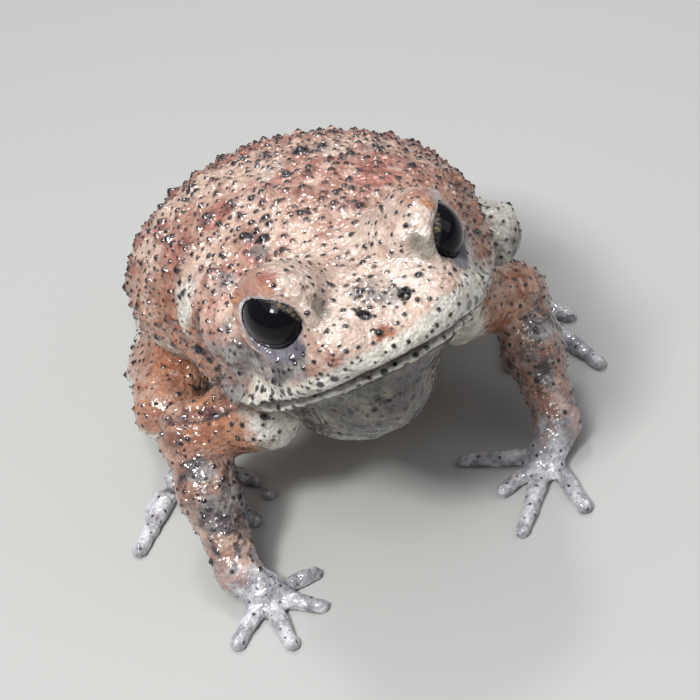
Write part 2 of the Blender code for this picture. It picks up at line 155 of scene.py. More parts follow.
# Patches of colour: the middle of each as (x, y, z), and its radius
PATCHES = {
    "pale": ((-15.5, 16.7, 30.5, 3.7), (19.1, 17.0, 31.1, 1.6), (8.7, 23.4, 35.5, 2.1), (4.1, 3.0, 38.8, 2.6),
             (7.1, -4.5, 39.6, 1.1), (-6.2, -3.9, 38.1, 1.1), (1.3, 24.2, 36.3, 2.1), (-6.8, -2.5, 41.1, 1.5),
             (-14.3, 26.6, 10.3, 1.5)),
    "rose": ((10.4, 14.0, 36.5, 2.7), (-12.8, 23.7, 32.0, 2.5), (-7.4, 21.7, 35.4, 2.3),
             (-7.8, -8.8, 36.1, 1.5), (-12.0, 30.5, 31.1, 1.9), (-9.0, -0.3, 42.3, 1.3)),
    "orange": ((-17.2, 28.2, 17.1, 3.6), (-16.3, 13.9, 28.9, 1.8), (18.6, 9.5, 29.9, 1.6),
               (-1.8, -10.0, 36.0, 1.3), (17.4, 6.4, 28.0, 1.4)),
    "dark": ((-16.0, 12.3, 26.7, 1.6), (-17.4, 25.3, 12.5, 1.7), (6.3, 14.0, 37.3, 1.5),
             (-4.4, 15.9, 36.8, 1.5), (6.1, 17.4, 37.3, 1.1), (0.8, 12.8, 37.5, 0.9),
             (-10.3, 16.9, 34.8, 1.0), (-11.6, 25.3, 32.6, 1.0), (8.4, 19.3, 36.6, 1.4),
             (13.7, 21.2, 34.2, 0.9), (-1.2, 13.5, 37.4, 0.9), (-3.5, 20.4, 36.7, 0.9),
             (2.2, 21.0, 37.1, 1.0), (14.7, 13.4, 35.0, 0.9), (-7.3, 18.0, 35.8, 1.2),
             (7.3, 3.0, 41.0, 0.9), (-5.4, 12.5, 36.5, 0.9), (-7.1, 26.8, 34.4, 0.9),
             (15.4, 9.2, 34.1, 0.9), (5.9, 26.0, 35.3, 0.9)),
    "speckled": ((-11.2, 12.2, 34.8, 1.8), (-13.1, 10.6, 34.0, 1.3), (-9.5, 12.7, 35.2, 1.3),
                 (0.2, -4.8, 37.6, 3.4), (-2.8, -5.1, 37.5, 1.9)),
    "grey": ((-13.8, 3.9, 31.6, 2.2), (-13.7, 6.5, 33.5, 1.5), (0.2, -4.8, 37.6, 3.0),
             (-0.1, 1.8, 37.4, 1.3), (-5.9, 11.7, 36.3, 1.3), (21.1, 4.0, 12.4, 1.4),
             (-21.8, 9.1, 14.0, 1.4), (-22.8, 5.4, 10.1, 2.1), (19.0, 0.7, 8.8, 1.2),
             (-11.5, 11.5, 34.7, 1.8)),
    "beige": ((7.1, -4.5, 39.6, 1.8), (-6.2, -3.9, 38.1, 1.8)),
    "lavender": ((-9.6, -5.7, 35.8, 0.6), (10.5, -4.7, 34.9, 0.8)),
    "cream": ((-15.5, 16.7, 30.5, 3.2),),
}

# The camera: where it stands round the toad, how far, and the photograph's frame
CAMERA_AZIMUTH = 17.0
CAMERA_ELEVATION = 39.0
CAMERA_ROLL = 17.0
CAMERA_DISTANCE = 240.0
PIXELS_PER_MM = 9.3
FRAME_PIXELS = 700.0
EYES_PIXEL = (354.0, 273.0)
SENSOR = 36.0

# The studio's lights, aimed at one point: azimuth, elevation, distance and size in metres, power in watts
LIT_POINT = (0.0, 15.0, 20.0)
LIGHTS = {
    "key": (-52, 66, 0.45, 0.2, 0.72),
    "window": (-64, 58, 0.45, 0.09, 1.35),
    "sky": (170, 80, 0.6, 1.0, 1.9),
    "back": (165, 62, 0.5, 0.08, 0.6),
    "fill": (60, 35, 0.6, 0.4, 0.55),
}

# Warts, big to small: spacing, radius, height, radius of the dark tip
WARTS = (
    (3.3, 1.35, 0.85, 0.52),
    (1.5, 0.75, 0.50, 0.33),
    (0.85, 0.40, 0.24, 0.20),
)
HALO = 1.5
CLUSTER_TIPS = 0.9
SPECKLE_TIPS = 0.15
DARK_SHARE = 0.35
CROWDING = 0.75
# Flat dark dots as spacing and radius: on the throat, the lip, the hands, and in a row above the mouth
THROAT_DOTS = (1.45, 0.38)
LIP_DOTS = (1.4, 0.26)
HAND_DOTS = (1.5, 0.18)
ROW_DOTS = {"right": (1.15, 0.42), "left": (1.3, 0.55)}
ROW_HEIGHT = 1.6
# Wrinkles, coarse to fine: height, size and seed
WRINKLES = ((0.14, 1.7, 1), (0.09, 0.8, 2), (0.05, 0.45, 3))
SEED = 23


# Blends and basic forms, as distance fields over an array of points

def blend(a, b, width):
    """Union of two fields with a fillet of the given width."""
    h = np.maximum(width - np.abs(a - b), 0.0) / width
    return np.minimum(a, b) - h * h * width * 0.25


def carve(a, b, width):
    """Field a without field b, with a rounded edge of the given width."""
    return -blend(-a, b, width)


def ellipsoid(points, centre, radii, pitch=0.0, yaw=0.0, roll=0.0):
    """pitch lifts the front end, yaw turns it to the left, roll tips the top to the left."""
    turn = (Matrix.Rotation(radians(yaw), 3, "Z")
            @ Matrix.Rotation(radians(-pitch), 3, "X")
            @ Matrix.Rotation(radians(roll), 3, "Y"))
    local = (points - np.array(centre, np.float32)) @ np.array(turn, np.float32)
    scaled = local / np.array(radii, np.float32)
    reach = np.sqrt((scaled ** 2).sum(-1))
    slope = np.sqrt(((scaled / np.array(radii, np.float32)) ** 2).sum(-1))
    return reach * (reach - 1.0) / np.maximum(slope, 1e-6)


def tapered(points, start, end, start_radius, end_radius):
    """A rod with round ends whose radius changes evenly."""
    start = np.array(start, np.float32)
    axis = np.array(end, np.float32) - start
    along = np.clip(((points - start) @ axis) / (axis @ axis), 0.0, 1.0)
    away = points - start - along[..., None] * axis
    return np.sqrt((away ** 2).sum(-1)) - (start_radius + (end_radius - start_radius) * along)


def limb(points, joints, radii, width=2.0):
    """Tapered rods through the joints, one after the other."""
    field = None
    for i in range(len(joints) - 1):
        rod = tapered(points, joints[i], joints[i + 1], radii[i], radii[i + 1])
        field = rod if field is None else blend(field, rod, width)
    return field


def smooth(value, low, high):
    """Rises smoothly from 0 at low to 1 at high, or falls where low is the greater."""
    t = np.clip((value - low) / (high - low), 0.0, 1.0)
    return t * t * (3.0 - 2.0 * t)


def noise(points, size, seed):
    """Soft random values from -1 to 1, with blobs of the given size."""
    cells = (NOISE_CELLS,) * 3
    lattice = np.random.default_rng(seed).uniform(-1.0, 1.0, cells).astype(np.float32)
    scaled = points / size
    base = np.floor(scaled).astype(np.int32)
    part = scaled - base
    part = part * part * (3.0 - 2.0 * part)
    total = 0.0
    for corner in np.ndindex(2, 2, 2):
        share = np.ones(points.shape[:-1], np.float32)
        for i in range(3):
            share = share * (part[..., i] if corner[i] else 1.0 - part[..., i])
        cell = (base + np.array(corner)) % NOISE_CELLS
        total = total + share * lattice[cell[..., 0], cell[..., 1], cell[..., 2]]
    return total


# The head, in a frame of its own: across, forward and up from the point between the eyes

def head_point(across, forward, up):
    pitch = radians(HEAD_PITCH)
    return (across,
            -(forward * cos(pitch) - up * sin(pitch)),
            EYE_HEIGHT + forward * sin(pitch) + up * cos(pitch))


def head_frame(points):
    """The points as across, forward and up."""
    pitch = radians(HEAD_PITCH)
    y = points[..., 1]
    z = points[..., 2] - EYE_HEIGHT
    return points[..., 0], -y * cos(pitch) + z * sin(pitch), y * sin(pitch) + z * cos(pitch)


def head_ball(points, across, forward, up, radii, pitch=0.0, yaw=0.0, roll=0.0):
    return ellipsoid(points, head_point(across, forward, up), radii, HEAD_PITCH + pitch, yaw, roll)


def eye_field(points, side, grow=0.0):
    radii = tuple(radius + grow for radius in EYE_RADII)
    return head_ball(points, side * EYE_SPREAD, EYE_FORWARD, EYE_UP, radii)


def eye_axes():
    """The left eye's own directions in the head's frame: outward, toward its front corner, upward."""
    look = Vector(EYE_LOOK).normalized()
    fore = Vector((-look.y, look.x, 0.0)).normalized()
    fore.rotate(Quaternion(look, radians(LID_TILT)))
    return look, fore, look.cross(fore)


def eye_frame(points, side):
    """The points in the frame of one eye: outward, toward its front corner, upward."""
    across, forward, up = head_frame(points)
    offset = (across * side - EYE_SPREAD, forward - EYE_FORWARD, up - EYE_UP)
    return tuple(sum(offset[i] * axis[i] for i in range(3)) for axis in eye_axes())


def between(value, low, middle, high):
    """Goes smoothly from low at -1 through middle at 0 to high at 1."""
    return middle + (high - middle) * smooth(value, 0.0, 0.9) + (low - middle) * smooth(value, 0.0, -0.9)


def lid_ring(points, side):
    """Where points are round one eye's opening: 1 on the ring of the lids, and -1 low to 1 high on it."""
    out, front, top = eye_frame(points, side)
    front = front - LID_FORWARD
    height = top / np.maximum(np.sqrt(front ** 2 + top ** 2), 0.1)
    half, offset, thickness = (between(height, *sizes) for sizes in zip(LOWER_LID, LID_CORNER, UPPER_LID))
    ring = np.sqrt((front / LID_HALF_LENGTH) ** 2 + (top / half) ** 2)
    return ring, height, half, offset, thickness, out


def lid_field(points, side):
    """The cup of one eye, the lids round its opening, and the rim of the brow above them."""
    ring, _, half, offset, thickness, out = lid_ring(points, side)
    lid = np.sqrt(((ring - 1.0) * (LID_HALF_LENGTH + half) / 2) ** 2 + (out - offset) ** 2) - thickness
    cup = np.maximum(eye_field(points, side, SOCKET_WALL), out - offset)
    rim = limb(points, [head_point(side * x, y, z) for x, y, z in RIM_LINE], RIM_RADII)
    return blend(blend(lid, cup, 0.5), rim, 1.0)


def jaw_plate(points, up, shrink, thickness):
    """A flat form with round edges, whose outline from above is the jaw's, bent as the mouth's line."""
    radii = (HEAD_HALF_WIDTH - shrink, JAW_LENGTH - LIP_OVERHANG * (shrink > 0), thickness)
    across, forward, height = head_frame(bent(points))
    x = np.abs(across) / radii[0]
    y = np.abs(forward - JAW_MIDDLE) / radii[1]
    z = (height - up) / radii[2]
    plan = (x ** JAW_POWER + y ** JAW_POWER) ** (1.0 / JAW_POWER)
    steep = np.maximum(plan, 1e-3) ** (2.0 - JAW_POWER)
    slope = np.sqrt((steep * x ** (JAW_POWER - 1.0) / radii[0]) ** 2
                    + (steep * y ** (JAW_POWER - 1.0) / radii[1]) ** 2 + (z / radii[2]) ** 2)
    reach = np.sqrt(plan ** 2 + z ** 2)
    return reach * (reach - 1.0) / np.maximum(slope, 1e-6)


def skull_field(points):
    field = head_ball(points, 0, -6.0, -4.0, (12.5, 12.6, 5.8), pitch=-7)
    field = blend(field, head_ball(points, 0, 2.6, -5.6, (8.2, 6.2, 3.4), pitch=-10), 4.0)
    field = blend(field, jaw_plate(points, MOUTH_FRONT + 0.4, 0.0, 2.4), HEAD_BLEND)
    for side in SIDES.values():
        brow = head_ball(points, side * 7.4, -1.2, 1.9, (4.4, 5.2, 2.7), roll=-side * 25)
        gland = head_ball(points, side * 11.8, -13.0, -2.2, (3.6, 7.5, 3.4), pitch=-8, yaw=side * 8)
        ear = head_ball(points, side * 13.4, -7.6, -4.0, (1.4, 1.9, 1.9))
        cheek = head_ball(points, side * 8.4, -1.6, -6.0, (4.0, 7.2, 3.4), roll=side * 20)
        bridge = head_ball(points, side * 6.0, 5.2, -4.3, (3.0, 3.2, 2.2), yaw=-side * 35)
        field = blend(field, brow, 2.5)
        field = blend(field, cheek, 2.5)
        field = blend(field, bridge, 2.5)
        field = blend(field, lid_field(points, side), 1.4)
        field = blend(field, gland, 2.5)
        field = blend(field, ear, 0.8)
    return field


def jaw_field(points):
    rim = jaw_plate(points, MOUTH_FRONT - 1.2, 1.2, 2.2)
    floor = head_ball(points, 0, -8.0, -10.2, (10.0, 13.5, 3.2))
    throat = head_ball(points, -2.4, -7.5, -13.9, (8.4, 12.0, 5.8))
    return blend(blend(floor, throat, HEAD_BLEND), rim, 2.0)


def bent(points):
    """The points lifted by as much as the mouth's line sinks below its front."""
    sunk = MOUTH_DROP * np.clip((points[..., 0] / HEAD_HALF_WIDTH) ** 2, 0.0, 1.5)
    pitch = radians(HEAD_PITCH)
    return points + sunk[..., None] * np.array((0.0, sin(pitch), cos(pitch)), np.float32)


def mouth_height(points):
    """Height above the line of the mouth, which sinks toward the jaw's corners."""
    across, _, up = head_frame(points)
    sunk = np.clip((across / HEAD_HALF_WIDTH) ** 2, 0.0, 1.5)
    return up - (MOUTH_FRONT - MOUTH_DROP * sunk)


def torso_field(points):
    field = ellipsoid(points, (2.6, 14.0, 25.2), (18.2, 13.0, 11.5), pitch=10)
    field = blend(field, ellipsoid(points, (3.2, 29.0, 19.5), (21.6, 22.6, 13.8), pitch=30, roll=9), 6.0)
    field = blend(field, ellipsoid(points, (3.2, 38.0, 12.0), (15.5, 15.0, 12.6), pitch=20), 6.0)
    return blend(field, ellipsoid(points, (4.2, 49.5, 7.0), (7.5, 7.5, 7.3)), 6.0)


def digits_field(points, root, root_radius, tips, radii):
    """Fingers or toes spread from one root along the floor."""
    start = (root[0], root[1], radii[0] * DIGIT_SINK)
    field = tapered(points, root, start, root_radius, radii[0])
    for x, y in tips:
        digit = tapered(points, start, (x, y, radii[1] * DIGIT_SINK), radii[0], radii[1])
        field = blend(field, digit, 1.0)
    return field


def limb_fields(points):
    """The field of each limb piece by its name."""
    fields = {}
    for side, leg in FORELEGS.items():
        elbow, wrist = Vector(leg["elbow"]), Vector(leg["wrist"])
        bulge = elbow.lerp(wrist, FOREARM_BULGE)
        fields["upper_arm_" + side] = limb(points, (leg["shoulder"], elbow), UPPER_ARM_RADII)
        fields["forearm_" + side] = limb(points, (elbow, bulge, wrist), FOREARM_RADII)
        hand = limb(points, (wrist, leg["palm"]), (FOREARM_RADII[-1], PALM_RADIUS), 1.0)
        digits = digits_field(points, leg["palm"], PALM_RADIUS, leg["fingers"], FINGER_RADII)
        fields["hand_" + side] = blend(hand, digits, 1.0)
    for side, leg in HIND_LEGS.items():
        fields["thigh_" + side] = limb(points, (leg["hip"], leg["knee"]), THIGH_RADII)
        knee, ankle = Vector(leg["knee"]), Vector(leg["ankle"])
        calf = knee.lerp(ankle, SHANK_BULGE)
        fields["shank_" + side] = limb(points, (knee, calf, ankle), SHANK_RADII)
        fields["tarsus_" + side] = limb(points, (leg["ankle"], leg["heel"]), TARSUS_RADII)
        fields["foot_" + side] = digits_field(points, leg["heel"], FOOT_RADIUS, leg["toes"], TOE_RADII)
    return fields


def body_groups(points):
    """The plain field of each part of the body by its name."""
    upper = np.maximum(skull_field(points), -mouth_height(points))
    groups = {"head": blend(upper, jaw_field(points), 0.5), "torso": torso_field(points)}
    groups.update(limb_fields(points))
    return groups


def nostril_field(points):
    """Both nostrils, as slanted hollows."""
    across, forward, up = NOSTRIL
    return np.minimum(*(head_ball(points, side * across, forward, up, NOSTRIL_RADII, yaw=-side * 30)
                        for side in SIDES.values()))


def skin_field(points):
    """The whole skin: the parts blended, then the mouth, nostrils and eye sockets cut in."""
    groups = body_groups(points)
    skin = blend(groups["head"], groups["torso"], CHEST_BLEND)
    for side in SIDES:
        arm = blend(groups["upper_arm_" + side], groups["forearm_" + side], 2.0)
        arm = blend(arm, groups["hand_" + side], 1.5)
        leg = blend(groups["thigh_" + side], groups["shank_" + side], 1.5)
        leg = blend(leg, groups["tarsus_" + side], 1.2)
        leg = blend(leg, groups["foot_" + side], 1.2)
        skin = blend(skin, arm, LIMB_BLEND)
        skin = blend(skin, leg, LIMB_BLEND)
    forward = head_frame(points)[1]
    groove = np.sqrt(mouth_height(points) ** 2 + np.minimum(skin, 0.0) ** 2) - 0.25
    groove = np.maximum(groove, -9.0 - forward)
    skin = carve(skin, groove, 0.3)
    skin = carve(skin, nostril_field(points), 0.35)
    neck = ellipsoid(points, NECK_FOLD_CENTRE, NECK_FOLD_RADII)
    depth = 0.75 * smooth(np.abs(points[..., 0]), 8.0, 14.0) * smooth(points[..., 2], 34.0, 30.0)
    skin = carve(skin, np.sqrt(neck ** 2 + skin ** 2) - depth, 0.9)
    for side in SIDES.values():
        skin = np.maximum(skin, -eye_field(points, side, SOCKET_GAP))
    return np.maximum(skin, -points[..., 2])


# The grid and its surface

def grid_points(centres, step):
    """The fine points of each block round its centre."""
    offsets = (np.arange(BLOCK) + 0.5 - BLOCK / 2) * step
    spread = np.stack(np.meshgrid(offsets, offsets, offsets, indexing="ij"), -1).astype(np.float32)
    return centres[:, None, None, None, :] + spread


def skin_surface(step):
    """Corners and quads of the skin, from a grid that is worked out only near the surface."""
    size = step * BLOCK
    low = np.array(GRID_LOW)
    counts = np.ceil((np.array(GRID_HIGH) - low) / size).astype(int)
    axes = [low[i] + size * (np.arange(counts[i]) + 0.5) for i in range(3)]
    centres = np.stack(np.meshgrid(*axes, indexing="ij"), -1).astype(np.float32)
    coarse = skin_field(centres)
    field = np.where(coarse > 0, FAR, -FAR).astype(np.float32)
    for axis in range(3):
        field = np.repeat(field, BLOCK, axis)
    blocks = field.reshape(counts[0], BLOCK, counts[1], BLOCK, counts[2], BLOCK).transpose(0, 2, 4, 1, 3, 5)
    near = np.argwhere(np.abs(coarse) < size * NEAR)
    for chunk in np.array_split(near, max(1, len(near) // CHUNK)):
        i, j, k = chunk.T
        blocks[i, j, k] = skin_field(grid_points(centres[i, j, k], step))
    grid = openvdb.FloatGrid()
    grid.background = FAR
    grid.copyFromArray(field)
    corners, quads = grid.convertToQuads(0.0)
    return (corners * step + low + step / 2).astype(np.float32), quads


def quad_normals(corners, quads):
    """The smoothed outward direction at each corner."""
    a, b, c, d = (corners[quads[:, i]] for i in range(4))
    faces = np.cross(c - a, d - b)
    normals = np.zeros_like(corners)
    for axis in range(3):
        for i in range(4):
            normals[:, axis] += np.bincount(quads[:, i], faces[:, axis], len(corners))
    return normals / np.maximum(np.linalg.norm(normals, axis=1, keepdims=True), 1e-9)


# Where each thing is on the skin

def regions(corners, normals):
    """Soft shares from 0 to 1 of each region of the skin, by name."""
    groups = body_groups(corners)
    across, forward, _ = head_frame(corners)
    mouth = mouth_height(corners)
    sums = {}
    total = 0.0
    for name, field in groups.items():
        weight = np.exp(-np.clip(field, -5.0, 20.0) / 0.8)
        kind = name.rsplit("_", 1)[0]
        sums[kind] = sums.get(kind, 0.0) + weight
        total = total + weight
    share = {kind: weight / total for kind, weight in sums.items()}
    share["below"] = smooth(normals[:, 2], 0.1, -0.5)
    share["jaw"] = share["head"] * smooth(mouth, 0.2, -0.4)
    band = 2.3 + 2.2 * smooth(across, 0.0, 10.0)
    share["lip"] = share["head"] * smooth(mouth - band, 1.0, -0.6) * smooth(mouth, -0.4, 0.1)
    share["lip"] = share["lip"] * smooth(forward, -9.0, -5.0)
    share["eye"] = np.minimum(*(eye_field(corners, side) for side in SIDES.values()))
    share["cluster"] = share["torso"] * np.maximum(0.6 * smooth(noise(corners, 3.6, 5), 0.45, 0.7),
                                                   patch(corners, "dark"))
    share["speckled"] = patch(corners, "speckled")
    return share


def patch(corners, name):
    """How much of the named patches each corner takes, with ragged edges."""
    ragged = 1.0 + 0.3 * noise(corners, 1.6, 12)
    total = np.zeros(len(corners), np.float32)
    for *middle, radius in PATCHES[name]:
        away = np.sqrt(((corners - np.array(middle, np.float32)) ** 2).sum(-1)) * ragged
        total = np.maximum(total, smooth(away, radius * 1.3, radius * 0.5))
    return total


def mesh_object(name, corners, quads, attributes):
    """A smooth object in the row's frame, with one number per corner for each attribute."""
    mesh = bpy.data.meshes.new(name)
    mesh.vertices.add(len(corners))
    mesh.vertices.foreach_set("co", corners.astype(np.float32).ravel())
    mesh.loops.add(quads.size)
    mesh.loops.foreach_set("vertex_index", quads.astype(np.int32).ravel())
    mesh.polygons.add(len(quads))
    mesh.polygons.foreach_set("loop_start", np.arange(0, quads.size, 4, dtype=np.int32))
    mesh.update(calc_edges=True)
    mesh.validate()
    mesh.shade_smooth()
    for label, values in attributes.items():
        layer = mesh.attributes.new(label, "FLOAT", "POINT")
        layer.data.foreach_set("value", np.ascontiguousarray(values, np.float32))
    made = bpy.data.objects.new(name, mesh)
    bpy.context.scene.collection.objects.link(made)
    return made


# Warts

def scatter(places, spacing, random):
    """One point at random from each cell of a grid, without those that crowd an earlier one."""
    order = random.permutation(len(places))
    cells = np.floor(places[order] / spacing).astype(np.int64)
    _, first = np.unique(cells @ np.array((1, 1000, 1000000)), return_index=True)
    chosen = order[first]
    tree = KDTree(len(chosen))
    for i, place in enumerate(places[chosen].tolist()):
        tree.insert(place, i)
    tree.balance()
    kept = np.ones(len(chosen), bool)
    for i in range(len(chosen)):
        if kept[i]:
            for _, j, _ in tree.find_range(places[chosen[i]], spacing * CROWDING):
                if j > i:
                    kept[j] = False
    return chosen[kept]


def near_tree(corners):
    tree = KDTree(len(corners))
    for i, place in enumerate(corners.tolist()):
        tree.insert(place, i)
    tree.balance()
    return tree


def raise_warts(corners, tree, share, random):
    """How far the warts lift each corner, how dark their tips make it, and the stain round them."""
    lift = np.zeros(len(corners), np.float32)
    tip = np.zeros(len(corners), np.float32)
    halo = np.zeros(len(corners), np.float32)
    rough = share["torso"] + 0.9 * share["head"] + 0.8 * share["upper_arm"] + 0.8 * share["forearm"]
    rough = rough + 0.7 * (share["thigh"] + share["shank"])
    rough = rough * (1.0 - share["below"]) * (1.0 - share["jaw"]) * (1.0 - 0.8 * share["lip"])
    rough = rough * smooth(share["eye"], 0.5, 2.2) * (1.0 - patch(corners, "beige"))
    for rank, (spacing, radius, height, tip_radius) in enumerate(WARTS):
        for index in scatter(corners, spacing, random):
            strength = rough[index]
            if rank == 0:
                strength = strength * (share["torso"][index] + 0.35)
            if random.uniform() > strength:
                continue
            scale = random.uniform(0.55, 1.2) * (0.65 + 0.35 * share["torso"][index])
            reach = radius * scale
            crowd = CLUSTER_TIPS * share["cluster"][index] + SPECKLE_TIPS * share["speckled"][index]
            tip_reach = tip_radius * random.uniform(0.7, 1.15) * (1.0 + crowd)
            hits = tree.find_range(corners[index], reach * HALO)
            near = [hit[1] for hit in hits]
            away = np.array([hit[2] for hit in hits]) / reach
            dome = 0.65 * np.clip(1.0 - away ** 2, 0.0, 1.0) ** 2
            spine = 0.35 * np.clip(1.0 - away / 0.45, 0.0, 1.0)
            lift[near] = np.maximum(lift[near], height * scale * (dome + spine))
            if rank < 2 or random.uniform() < max(DARK_SHARE, share["speckled"][index]):
                tip[near] = np.maximum(tip[near], smooth(away * reach, tip_reach * 1.1, tip_reach * 0.7))
            stain = smooth(away, HALO, 0.4) * random.uniform(0.1, 1.0)
            halo[near] = np.maximum(halo[near], stain * (rank < 2))
    return lift, tip, halo


def paint_dots(corners, tree, tip, inside, sizes, random):
    """Adds flat dark dots of uneven size on the part of the skin that is inside."""
    spacing, radius = sizes
    chosen = np.flatnonzero(inside)
    for index in chosen[scatter(corners[chosen], spacing, random)]:
        reach = radius * random.uniform(0.6, 1.25)
        hits = tree.find_range(corners[index], reach * 1.3)
        near = [hit[1] for hit in hits]
        away = np.array([hit[2] for hit in hits]) / reach
        tip[near] = np.maximum(tip[near], smooth(away, 1.2, 0.8))


# Materials

def add_node(tree, kind, values=None, **settings):
    """A node with its settings, and its sockets set to values or linked to other nodes' sockets."""
    made = tree.nodes.new(kind)
    for name, value in settings.items():
        setattr(made, name, value)
    for name, value in (values or {}).items():
        if isinstance(value, bpy.types.NodeSocket):
            tree.links.new(value, made.inputs[name])
        else:
            made.inputs[name].default_value = value
    return made


def attribute(tree, name):
    return add_node(tree, "ShaderNodeAttribute", attribute_name=name).outputs["Fac"]


def mix_colour(tree, factor, a, b):
    """Socket 0 is the factor, 6 and 7 are the two colours."""
    return add_node(tree, "ShaderNodeMix", {0: factor, 6: a, 7: b}, data_type="RGBA").outputs[2]


def maths(tree, operation, a, b=0.0, clamp=False):
    return add_node(tree, "ShaderNodeMath", {0: a, 1: b}, operation=operation, use_clamp=clamp).outputs[0]


def steps(tree, value, low, high, start=0.0, end=1.0):
    made = add_node(tree, "ShaderNodeMapRange", {"Value": value, "From Min": low, "From Max": high,
                                                 "To Min": start, "To Max": end})
    made.interpolation_type = "SMOOTHSTEP"
    return made.outputs[0]


def cloud(tree, place, scale, detail=4.0, rough=0.6):
    """Noise over the place in millimetres, with scale in blobs per millimetre."""
    made = add_node(tree, "ShaderNodeTexNoise", {"Vector": place, "Scale": scale, "Detail": detail,
                                                 "Roughness": rough})
    return made.outputs["Fac"]


def new_material(name):
    made = bpy.data.materials.new(name)
    made.use_nodes = True
    tree = made.node_tree
    tree.nodes.clear()
    shader = add_node(tree, "ShaderNodeBsdfPrincipled")
    output = add_node(tree, "ShaderNodeOutputMaterial")
    tree.links.new(shader.outputs[0], output.inputs[0])
    return made, tree, shader


def millimetres(tree):
    place = add_node(tree, "ShaderNodeTexCoord").outputs["Object"]
    return add_node(tree, "ShaderNodeVectorMath", {0: place, "Scale": 1.0 / MM}, operation="SCALE").outputs[0]


TAN = ((0.38, 0.20, 0.145, 1), (0.62, 0.45, 0.36, 1))
# Each layer's two tones, laid over the tan in this order
LAYERS = {
    "rose": ((0.27, 0.095, 0.070, 1), (0.47, 0.20, 0.155, 1)),
    "pale": ((0.50, 0.37, 0.30, 1), (0.70, 0.57, 0.49, 1)),
    "orange": ((0.26, 0.085, 0.040, 1), (0.50, 0.22, 0.11, 1)),
    "stain": ((0.12, 0.040, 0.036, 1), (0.26, 0.11, 0.085, 1)),
    "grey": ((0.08, 0.07, 0.07, 1), (0.32, 0.29, 0.28, 1)),
    "beige": ((0.24, 0.21, 0.17, 1), (0.42, 0.38, 0.32, 1)),
    "cream": ((0.56, 0.52, 0.44, 1), (0.78, 0.75, 0.68, 1)),
    # The throat's olive, darkened as painted shade under the head
    "olive_and_shade": ((0.022, 0.024, 0.015, 1), (0.145, 0.15, 0.10, 1)),
    "lilac": ((0.26, 0.26, 0.29, 1), (0.66, 0.66, 0.69, 1)),
    "lavender": ((0.11, 0.10, 0.13, 1), (0.24, 0.225, 0.265, 1)),
    "dark": ((0.030, 0.020, 0.026, 1), (0.085, 0.050, 0.055, 1)),
}
MOTTLE_COLOUR = (0.13, 0.08, 0.075, 1)
# Near black: the lip's own dark edge, with painted shade in the mouth's slit and in the nostrils' hollows
LIP_EDGE_AND_RECESS_SHADE_COLOUR = (0.014, 0.011, 0.012, 1)
TIP_COLOUR = (0.008, 0.006, 0.009, 1)
SKIN_FINISH = {
    "Specular IOR Level": 0.15,
    "Coat Weight": 1.0,
    "Coat Roughness": 0.09,
    "Coat IOR": 1.75,
    "Subsurface Weight": 0.03,
    "Subsurface Radius": (1.0, 0.4, 0.25),
    "Subsurface Scale": 1.0 * MM,
}
PUPIL_COLOUR = (0.004, 0.004, 0.006, 1)
# The iris's tones: a dark one tinted navy, a painted sky reflection, and its own bronze
IRIS_AND_SKY_TINT = ((0.020, 0.020, 0.034, 1), (0.19, 0.15, 0.09, 1))
EYE_FINISH = {
    "Roughness": 0.5,
    "Specular IOR Level": 0.0,
    "Coat Weight": 1.0,
    "Coat Roughness": 0.02,
    "Coat IOR": 1.26,
}
FLOOR_COLOUR = (0.44, 0.44, 0.425, 1)
WORLD_COLOUR = (0.85, 0.9, 1.0, 1)
WORLD_STRENGTH = 0.17


def skin_material():
    made, tree, shader = new_material("wet warty skin")
    place = millimetres(tree)
    colour = mix_colour(tree, steps(tree, cloud(tree, place, 0.16), 0.40, 0.62), *TAN)
    for name, pair in LAYERS.items():
        broken = steps(tree, cloud(tree, place, 0.55), 0.25, 0.75, -0.35, 0.35)
        share = maths(tree, "ADD", attribute(tree, name), broken)
        share = maths(tree, "MULTIPLY", share, steps(tree, attribute(tree, name), 0.0, 0.25), clamp=True)
        tone = mix_colour(tree, steps(tree, cloud(tree, place, 0.45), 0.35, 0.65), *pair)
        colour = mix_colour(tree, steps(tree, share, 0.05, 0.95), colour, tone)
    mottle = steps(tree, cloud(tree, place, 1.3, 2.0), 0.52, 0.72, 0.0, 0.4)
    colour = mix_colour(tree, mottle, colour, MOTTLE_COLOUR)
    # The mouth's dark line, partly painted shade in its slit, and painted shade in the nostrils
    colour = mix_colour(tree, attribute(tree, "lip_edge_and_recess_shade"), colour, LIP_EDGE_AND_RECESS_SHADE_COLOUR)
    colour = mix_colour(tree, attribute(tree, "tip"), colour, TIP_COLOUR)
    tree.links.new(colour, shader.inputs["Base Color"])
    rough = steps(tree, cloud(tree, place, 0.8), 0.3, 0.7, 0.28, 0.5)
    tree.links.new(rough, shader.inputs["Roughness"])
    for socket, value in SKIN_FINISH.items():
        shader.inputs[socket].default_value = value
    fine = add_node(tree, "ShaderNodeTexVoronoi", {"Vector": place, "Scale": 2.0})
    grain = maths(tree, "SUBTRACT", cloud(tree, place, 2.0, 1.0), fine.outputs["Distance"])
    bump = add_node(tree, "ShaderNodeBump", {"Height": grain, "Strength": 0.8, "Distance": 0.2 * MM})
    tree.links.new(bump.outputs[0], shader.inputs["Normal"])
    film = add_node(tree, "ShaderNodeBump", {"Height": cloud(tree, place, 1.3, 1.0), "Strength": 0.8,
                                             "Distance": 0.3 * MM})
    tree.links.new(film.outputs[0], shader.inputs["Coat Normal"])
    return made


